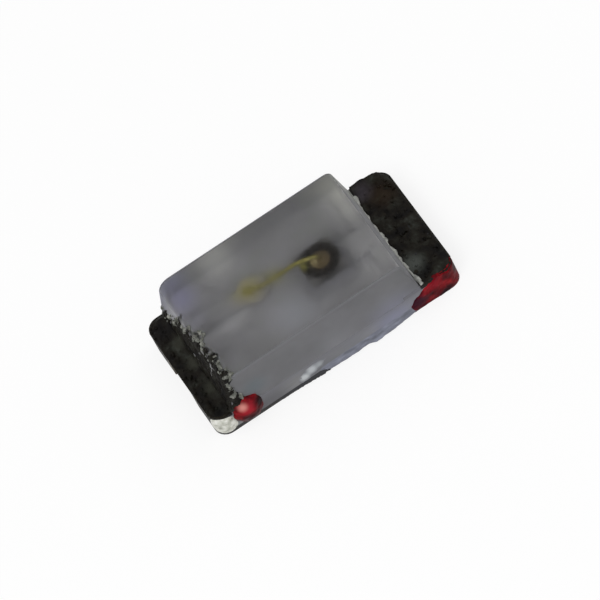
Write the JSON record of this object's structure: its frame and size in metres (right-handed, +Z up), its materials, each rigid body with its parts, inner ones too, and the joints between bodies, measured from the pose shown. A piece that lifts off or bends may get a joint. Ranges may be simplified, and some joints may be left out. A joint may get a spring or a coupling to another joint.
{
  "type": "smd led",
  "caption": "Surface-mount chip LED: milky resin block over a chip and bond wire, on a small board with plated solder ends.",
  "frame": {"origin": "middle of the package, where a pick-and-place nozzle takes it; the underside is 0.225 mm below it", "axes": "+X along the package towards the cathode end, which carries the chip; +Y across the package; +Z up, out of the lens"},
  "size_m": [0.0016, 0.0008, 0.0004],
  "materials": {
    "laminate": "sawn glass and resin laminate",
    "top_land_metal": "plated copper foil, tarnished nearly black",
    "solder_end_metal": "plated copper, dull and tarnished",
    "die_adhesive": "silver-filled epoxy",
    "chip_gold": "evaporated gold",
    "chip_semiconductor": "sawn semiconductor crystal",
    "light_layer": "polished crystal",
    "wire_gold": "drawn gold",
    "lens_epoxy": "milky moulded epoxy, slightly matt",
    "resist_film": "cured solder resist",
    "mark_ink": "cured ink"
  },
  "bodies": {
    "root": {"laminate_core": "laminate", "anode_top_land": "top_land_metal", "cathode_top_land": "top_land_metal", "anode_end_plating": "solder_end_metal", "cathode_end_plating": "solder_end_metal", "anode_bottom_land": "solder_end_metal", "cathode_bottom_land": "solder_end_metal", "die_attach_adhesive": "die_adhesive", "chip_back_electrode": "chip_gold", "chip_body": "chip_semiconductor", "chip_light_layer": "light_layer", "chip_top_electrode": "chip_gold", "bond_wire": "wire_gold", "lens": "lens_epoxy", "solder_resist": "resist_film", "polarity_mark": "mark_ink"}
  },
  "joints": []
}
